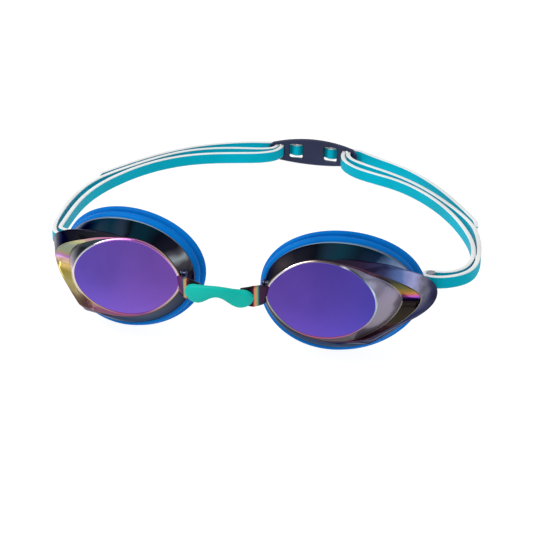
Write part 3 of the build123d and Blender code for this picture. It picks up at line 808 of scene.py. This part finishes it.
def whole_side(side):
    """The band's line on one side, from the middle of the crossing to the free end of its tail."""
    inner, outer, tail = ROUTES[side]
    lead = np.subtract(tail[1], tail[0])
    corner = np.subtract(tail[0], lead / np.linalg.norm(lead) * TURN_LEAD)
    x, y = POST
    wrap = [(x + 5.0, y + WRAP_RADIUS), (x - WRAP_RADIUS, y + WRAP_RADIUS),
            (x - WRAP_RADIUS, y - WRAP_RADIUS), (x + 4.2, y - WRAP_RADIUS)]
    sign = SIDES[side]
    crossing = sorted((sign * px, py) for px, py in CROSSING if sign * (px - CLIP_X) > 0)
    middle = [(sign * CLIP_X, CROSSING[2][1])]
    return middle + crossing + inner[::-1][1:] + wrap + outer + [tuple(corner)] + tail


def band_section():
    """The band's section with extra points where the white edge meets the coloured face."""
    level = BAND_WIDTH / 2 - WHITE_EDGE
    extra = [(sx * BAND_THICKNESS / 2, sy * level) for sx, sy in ((1, 1), (-1, 1), (-1, -1), (1, -1))]
    plain = rounded_section(BAND_THICKNESS, BAND_WIDTH, BAND_CORNER, steps=5)
    points = np.concatenate([plain, extra])
    angle = np.arctan2(points[:, 1] / BAND_WIDTH, points[:, 0] / BAND_THICKNESS)
    points = points[np.argsort(angle)]
    zones = []
    for a, b in zip(points, np.roll(points, -1, axis=0)):
        zones.append(1 if abs(a[1] + b[1]) / 2 > level else 0)
    return points, zones


def sweep_band(name, line, along, sign, motion, node, shaders, free_end):
    """A length of the band.  Its motion is the body it rides, or the two it passes between and where, which
    leaves the piece fixed where it lies.
    """
    section, zones = band_section()
    gone = np.concatenate([[0], np.cumsum(np.linalg.norm(np.diff(line, axis=0), axis=1))])
    left_over = gone[-1] - gone
    rings = []
    for point, direction, far in zip(line, along, left_over):
        across = section[:, 1].copy()
        if free_end and far < BAND_WIDTH / 2:
            share = math.sqrt(max(1 - (1 - far / (BAND_WIDTH / 2)) ** 2, TAIL_END_SHARE))
            across *= share
        x = sign * (point[0] - direction[1] * section[:, 0])
        back = point[1] + direction[0] * section[:, 0]
        rings.append(band_points(x, back, across))
    piece = capped(name, rings, zones, shaders)
    if isinstance(motion, str):
        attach(piece, motion)
    else:
        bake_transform(piece)
    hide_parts(node)


def make_band_side(side, shaders):
    """One side of the band, cut where it passes from one body to the next."""
    sign = SIDES[side]
    line = route_curve(whole_side(side))
    window = sign * CLIP_X + CLIP_WINDOW_X
    behind_clip = line[:, 1] > CLIP_Y + 1
    first_quarter = np.arange(len(line)) < len(line) // 4
    bow = WINDOW_BOW * np.exp(-((line[:, 0] - window) / WINDOW_BOW_WIDTH) ** 2)
    line[:, 1] -= np.where(behind_clip & first_quarter, bow, 0)
    along = np.gradient(line, axis=0)
    along /= np.linalg.norm(along, axis=1)[:, None]
    back = line[:, 1]
    front = int(np.argmin(np.hypot(line[:, 0] - POST[0] + WRAP_RADIUS, line[:, 1] - POST[1])))
    bar = front + int(np.argmax(back[front:]))
    last_inner = int(np.argmax(back[:front] < ROUTES[side][0][-1][1]))

    def crossing_of(level, start, stop, step):
        """Where the line passes a distance back, looking from start to stop."""
        for i in range(start, stop, step):
            if (back[i] - level) * (back[i + step] - level) <= 0:
                return i
        raise ValueError("the band doesn't cross that level")

    inner_strap = crossing_of(BRIDGE_TO_STRAP[1], front, 0, -1)
    inner_bridge = crossing_of(BRIDGE_TO_STRAP[0], front, 0, -1)
    outer_bridge = crossing_of(BRIDGE_TO_STRAP[0], front, bar, 1)
    outer_strap = crossing_of(BRIDGE_TO_STRAP[1], front, bar, 1)
    cup, tail = side + "_cup", side + "_tail"
    cup_zone = [band_points(sign * POST[0], level, 0) for level in CUP_TO_BRIDGE]
    strap_zone = [band_points(sign * POST[0], level, 0) for level in BRIDGE_TO_STRAP]
    tail_zone = [band_points(sign * line[bar + k][0], line[bar + k][1], 0) for k in STRAP_TO_TAIL]
    name = side + "_strap_"
    parts = [
        ("crossing_half", 0, last_inner, "strap", "strap_rear_crossing"),
        ("inner_leg", last_inner, inner_strap, "strap", name + "inner_run"),
        ("inner_bend", inner_strap, inner_bridge, ("bridge", "strap", *strap_zone), name + "inner_run"),
        ("temple_turn", inner_bridge, outer_bridge, (cup, "bridge", *cup_zone), name + "temple_loop"),
        ("outer_bend", outer_bridge, outer_strap, ("bridge", "strap", *strap_zone), name + "outer_run"),
        ("outer_leg", outer_strap, bar, "strap", name + "outer_run"),
        ("free_tail", bar, len(line) - 1, ("strap", tail, *tail_zone), name + "tail"),
    ]
    for label, first, last, motion, node in parts:
        sweep_band(name + label, line[first:last + 1], along[first:last + 1], sign, motion, node,
                   shaders, label == "free_tail")


# --- temple posts ---
LUG_LINE = [(74.6, 30.6), (74.8, 34.5), (74.9, 36.9), (74.0, 38.5), (72.6, 38.9), (71.2, 38.0),
            (70.9, 36.2), (71.6, 33.4), (72.4, 30.2)]
LUG_THICKNESS = 0.6
LUG_GAP = 0.12               # between the band's edge and the lug
LUG_EDGE = (0.95, 0.12)      # the plan's size at the lug's faces, and the depth of its rounded edge
POST_END = 0.2               # how far the post reaches past the gap


def make_post(side, shader):
    """The upright post behind the arm's tip, with a lug under the band."""
    sign = SIDES[side]
    reach = BAND_WIDTH / 2 + LUG_GAP
    circle = circle_angles(32)
    rings = [band_points(sign * (POST[0] + POST_RADIUS * np.cos(circle)),
                         POST[1] + POST_RADIUS * np.sin(circle), level)
             for level in (-reach - POST_END, -reach / 2, reach / 2, reach + POST_END)]
    post = capped(side + "_strap_post", rings, None, [shader])
    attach(post, side + "_cup")
    plan = spline(LUG_LINE, 6, closed=True)
    middle = plan.mean(axis=0)
    rings = []
    small, round_off = LUG_EDGE
    for share, drop in ((small, 0), (1, round_off), (1, LUG_THICKNESS - round_off), (small, LUG_THICKNESS)):
        ring = middle + (plan - middle) * share
        rings.append(band_points(sign * ring[:, 0], ring[:, 1], -reach - drop))
    lug = capped(side + "_strap_lug", rings, None, [shader])
    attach(lug, side + "_cup")


# --- materials ---
LENS_CLOUD = 0.07            # how strongly the lens colour drifts over the mirror


def lens_material(side, nose, middle, temple):
    """The mirrored lens, with its colour by the nose, in the middle and by the temple."""
    shader = Shader(side + "_lens_mirror")
    across = shader.attribute("cup", 0)
    base = shader.ramp(across, -22, 22, [(-20, *nose), (0, *middle), (20, *temple)])
    haze = shader.noise(60, detail=3)
    cloud = shader.ramp(haze, 0, 1, [(0.3, 70, 60, 190), (0.7, 140, 70, 190)])
    shader.colour(shader.mix(LENS_CLOUD, base, cloud))
    shader.set(Metallic=1.0)
    shader.rough(haze, 0.07, 0.12)
    return shader.material


ARM_GRAZING = (0.42, 0.43, 0.5, 1.0)      # how much of the white glare at low angles is left
WALL_GRAZING = (0.34, 0.38, 0.46, 1.0)
FULL_GRAZING = (1.0, 1.0, 1.0, 1.0)
AROUND_DRIFT = 16.0          # degrees, from one extreme of the unevenness to the other


def zone_material(name, stops, metallic=0.85, roughness=(0.08, 0.16), wobble=1.0, grazing=FULL_GRAZING):
    """A mirror coating's tint with reflections painted in, its colour running with height in the cup, with
    soft uneven borders.
    """
    shader = Shader(name)
    height = shader.math("ADD", shader.attribute("cup", 1), shader.drift(0.22, wobble * 4))
    low, high = stops[0][0] - 8, stops[-1][0] + 8
    shader.colour(shader.ramp(height, low, high, stops))
    shader.set(Metallic=metallic, Specular_Tint=grazing)
    shader.rough(shader.cup_noise(0.5, detail=3), *roughness)
    return shader.material


def around_material(name, stops, metallic=0.9, roughness=(0.08, 0.16), grazing=FULL_GRAZING):
    """A coating's tint with reflections and highlights painted in, changing round the cup: degrees from the
    temple, up over the top.
    """
    shader = Shader(name)
    turn = shader.math("ARCTAN2", shader.attribute("cup", 1), shader.attribute("cup", 0))
    degrees = shader.math("MULTIPLY", turn, 180 / math.pi)
    degrees = shader.math("ADD", degrees, shader.drift(0.12, AROUND_DRIFT))
    shader.colour(shader.ramp(degrees, -180, 180, stops))
    shader.set(Metallic=metallic, Specular_Tint=grazing)
    shader.rough(shader.cup_noise(0.5, detail=3), *roughness)
    return shader.material


def band_material(name, above, below):
    """The arm's band: its coating's tint with painted reflections and highlights; colours run outward, and
    differ above and below the middle.
    """
    shader = Shader(name)
    out = shader.math("ADD", shader.attribute("cup", 0), shader.drift(0.2, 5.0))
    high = shader.ramp(shader.attribute("cup", 1), -8, 3, [(-6, 0, 0, 0), (1, 255, 255, 255)])
    shader.colour(shader.mix(high, shader.ramp(out, -12, 42, below), shader.ramp(out, -12, 42, above)))
    shader.set(Metallic=1.0, Specular_Tint=ARM_GRAZING)
    shader.rough(shader.cup_noise(0.2), 0.16, 0.26)
    return shader.material


# The cup's colours: the mirror coating's tint with painted reflections and highlights.
def left_coating_and_painted_reflections():
    return {
        "lens": lens_material("left", (112, 84, 190), (102, 80, 190), (90, 82, 198)),
        # Round the rim, the white and pale stops are painted highlights and glints.
        "rim": around_material("left_rim", [
            (-178, 190, 190, 186), (-140, 120, 120, 118), (-95, 176, 84, 120), (-45, 170, 96, 140),
            (-12, 150, 160, 170), (12, 206, 228, 232), (32, 70, 84, 92), (47, 84, 84, 92),
            (56, 228, 230, 236), (66, 90, 84, 88), (92, 118, 104, 96), (118, 150, 140, 132),
            (134, 236, 230, 224), (155, 244, 240, 236), (178, 200, 198, 194)]),
        # The facet's lighter middle is a painted reflection.
        "facet": zone_material("left_facet", [
            (-14, 86, 80, 86), (-6, 124, 116, 134), (3, 138, 128, 152), (8, 134, 132, 158),
            (14, 84, 84, 100)], metallic=0.5, roughness=(0.2, 0.26)),
        # The thin lines at the foot and crest carry painted highlight lines.
        "edge": zone_material("left_edge", [
            (-14, 90, 50, 70), (-5, 150, 140, 110), (4, 140, 136, 92), (8, 70, 60, 60), (14, 58, 44, 56)]),
        # The groove's bands of colour are painted reflections, which change where its surface turns from
        # facing down to facing up.
        "recess": zone_material("left_recess", [
            (-13, 70, 36, 62), (-8, 40, 34, 22), (-1.6, 26, 18, 20), (-0.6, 40, 14, 86),
            (0.2, 96, 40, 170), (0.9, 198, 92, 196), (1.7, 200, 96, 104), (2.5, 186, 128, 46),
            (4.5, 102, 96, 30), (8, 34, 40, 28), (13, 80, 40, 70)], wobble=0.08, roughness=(0.14, 0.22)),
        # The steel-blue and pale lilac stops near the tip are painted highlights.
        "band": band_material("left_band", [
            (-8, 50, 42, 50), (6, 34, 28, 40), (15, 42, 32, 56), (22, 48, 52, 88), (28, 84, 106, 158),
            (32, 150, 152, 196), (35, 110, 108, 122), (37, 64, 66, 88), (39.5, 44, 38, 50)], [
            (-8, 38, 48, 66), (14, 42, 50, 72), (22, 52, 50, 78), (30, 56, 62, 96), (36, 58, 58, 80),
            (39.5, 44, 38, 50)]),
        # The wall's colours round the cup are painted reflections; the bright stops near 21 degrees are a
        # painted highlight.
        "wall": around_material("left_wall", [
            (-178, 60, 60, 72), (-120, 84, 92, 108), (-60, 82, 92, 110), (-10, 60, 58, 76),
            (12, 150, 120, 140), (21, 190, 206, 240), (31, 112, 144, 190), (41, 38, 56, 84),
            (54, 24, 42, 58), (75, 26, 70, 88), (88, 36, 62, 82), (104, 22, 26, 36), (128, 44, 44, 56),
            (145, 88, 80, 84), (160, 60, 54, 62), (175, 40, 36, 44)], metallic=1.0, grazing=WALL_GRAZING),
    }


# The other cup's colours: the same tint, with its painted reflections and highlights in other places.
def right_coating_and_painted_reflections():
    return {
        "lens": lens_material("right", (136, 92, 196), (128, 94, 202), (116, 94, 210)),
        # Round the rim, the pale and white stops are painted highlights and reflections.
        "rim": around_material("right_rim", [
            (-178, 210, 178, 200), (-120, 140, 70, 140), (-80, 170, 86, 130), (-40, 206, 176, 124),
            (-5, 236, 226, 214), (30, 200, 210, 214), (60, 206, 130, 200), (100, 150, 84, 160),
            (140, 190, 120, 170), (178, 226, 206, 210)]),
        # The facet's pale bands are painted reflections.
        "facet": zone_material("right_facet", [
            (-14, 140, 84, 116), (-6, 200, 182, 140), (-1, 226, 206, 214), (1.5, 130, 80, 130),
            (4, 52, 56, 70), (9, 26, 30, 40), (14, 70, 90, 96)], roughness=(0.16, 0.26)),
        # The thin lines at the foot and crest carry painted highlight lines.
        "edge": zone_material("right_edge", [
            (-14, 150, 90, 120), (-5, 176, 166, 116), (4, 150, 150, 104), (10, 190, 180, 120),
            (14, 200, 120, 170)], roughness=(0.28, 0.36)),
        # The groove's pink, gold and pale bands are painted reflections.
        "recess": zone_material("right_recess", [
            (-13, 112, 92, 84), (-8, 170, 158, 92), (-5, 150, 134, 54), (-2.5, 206, 176, 104),
            (-0.9, 240, 214, 216), (0.3, 236, 180, 236), (1.2, 168, 104, 196), (2.4, 160, 118, 90),
            (4, 124, 136, 96), (8, 122, 138, 120), (11, 186, 188, 120), (14, 206, 130, 176)],
            wobble=0.08, metallic=0.6, roughness=(0.3, 0.4)),
        # The pale stops towards the tip below the middle are painted highlights.
        "band": band_material("right_band", [
            (-8, 84, 60, 80), (6, 40, 40, 50), (16, 26, 26, 34), (28, 22, 22, 30), (34, 40, 38, 48),
            (38, 96, 92, 106), (39.5, 130, 126, 140)], [
            (-8, 44, 54, 74), (14, 62, 62, 80), (24, 140, 130, 140), (34, 176, 170, 182),
            (39.5, 140, 134, 150)]),
        # The wall's colours round the cup are painted reflections; the pale stop at 157 degrees is a painted
        # glint.
        "wall": around_material("right_wall", [
            (-178, 58, 58, 70), (-120, 84, 92, 106), (-60, 84, 92, 106), (0, 20, 20, 28),
            (40, 14, 16, 24), (50, 54, 74, 94), (64, 26, 64, 84), (77, 54, 70, 92), (85, 16, 24, 34),
            (92, 18, 52, 68), (110, 16, 52, 68), (123, 14, 20, 34), (142, 36, 36, 50), (150, 98, 96, 106),
            (157, 178, 192, 198), (163, 84, 82, 92), (174, 38, 30, 38)], metallic=1.0, grazing=WALL_GRAZING),
    }


def cup_materials(side):
    """Each side's coating: its tint with reflections and highlights painted in, and other painted colours on
    the side turned to the light.
    """
    made = left_coating_and_painted_reflections() if side == "left" else right_coating_and_painted_reflections()
    # A pale line along the wall's rear edge, brightest over the top: a painted highlight.
    made["rear_highlight"] = around_material(side + "_wall_rear_highlight", [
        (-150, 60, 66, 84), (-30, 60, 66, 84), (30, 90, 104, 124), (70, 150, 172, 182),
        (110, 160, 180, 188), (150, 84, 88, 96)], metallic=0.5, roughness=(0.4, 0.5))
    made["arm_back"] = zone_material(side + "_arm_back", [(-10, 84, 88, 112), (10, 68, 72, 98)],
                                     metallic=1.0, grazing=WALL_GRAZING)
    made["inside"] = zone_material(side + "_inside", [(-20, 58, 50, 92), (20, 40, 36, 70)],
                                   metallic=0.3, roughness=(0.1, 0.2))
    return made


SILICONE_GRAIN = (2600, 0.00003, 0.5)    # the finest noise's scale, height in metres and strength
CLIP_GRAIN = (3000, 0.00002, 0.6)


def silicone(name, base, light, roughness, gloss=0.22):
    """Soft moulded silicone: slight mottling, a faint dull skin and a very fine grain."""
    shader = Shader(name)
    mottle = shader.noise(45, detail=4, roughness=0.55)
    shader.colour(shader.ramp(mottle, 0, 1, [(0.32, *base), (0.7, *light)]))
    shader.rough(mottle, roughness - 0.05, roughness + 0.07)
    shader.set(Specular_IOR_Level=gloss)
    shader.grain(*SILICONE_GRAIN)
    return shader.material


# The tab's colour differs from side to side as painted reflections of the mirror coating.
TAB_BY_LENS = {"left": (56, 29, 53), "right": (128, 66, 100)}   # the tab's colour by the lens


def tab_material(side, by_lens):
    shader = Shader(side + "_tab_mirror")
    # The orange, gold and teal bands near the pad are painted reflections.
    base = shader.ramp(shader.attribute("cup", 0), 7, 21,
                       [(11.5, 20, 16, 22), (12.7, 60, 24, 40), (13.2, 206, 122, 98),
                        (13.7, 180, 152, 76), (14.2, 96, 150, 142), (14.7, 40, 52, 80),
                        (15.3, *by_lens), (19.5, *by_lens)])
    shader.colour(base)
    shader.set(Metallic=0.9)
    shader.rough(shader.noise(300, detail=2), 0.08, 0.15)
    return shader.material


def clip_material():
    shader = Shader("navy_clip_plastic")
    mottle = shader.noise(90, detail=4)
    shader.colour(shader.ramp(mottle, 0, 1, [(0.3, 20, 28, 58), (0.7, 32, 42, 76)]))
    shader.set(Specular_IOR_Level=0.3)
    shader.rough(mottle, 0.3, 0.42)
    shader.grain(*CLIP_GRAIN)
    return shader.material


# --- the whole set ---
make_camera()
make_stage()
band_teal = silicone("band_teal", (0, 158, 180), (0, 172, 196), 0.46, gloss=0.03)
band_white = silicone("band_white_edge", (222, 224, 224), (238, 240, 240), 0.45)
gasket_blue = silicone("gasket_blue", (0, 100, 182), (0, 116, 202), 0.46, gloss=0.04)
bridge_teal = silicone("bridge_teal", (0, 168, 154), (10, 184, 172), 0.4, gloss=0.12)
# The post is a mirror painted pale, to stand in for the highlight round the arm's tip.
post_coating_and_highlight = zone_material("post_coating_and_highlight", [(-10, 176, 178, 190), (10, 150, 154, 170)])
for cup_side in SIDES:
    coating_and_reflections = cup_materials(cup_side)
    make_eyecup(cup_side, coating_and_reflections)
    make_post(cup_side, post_coating_and_highlight)
    make_gasket(cup_side, gasket_blue)
    make_nose_tab(cup_side, tab_material(cup_side, TAB_BY_LENS[cup_side]))
    make_knob(cup_side, coating_and_reflections["arm_back"])
    make_bridge_half(cup_side, bridge_teal)
    make_band_side(cup_side, [band_teal, band_white])
clip = frame["nodes"]["rear_clip"]
clip.data.materials.clear()
clip.data.materials.append(clip_material())
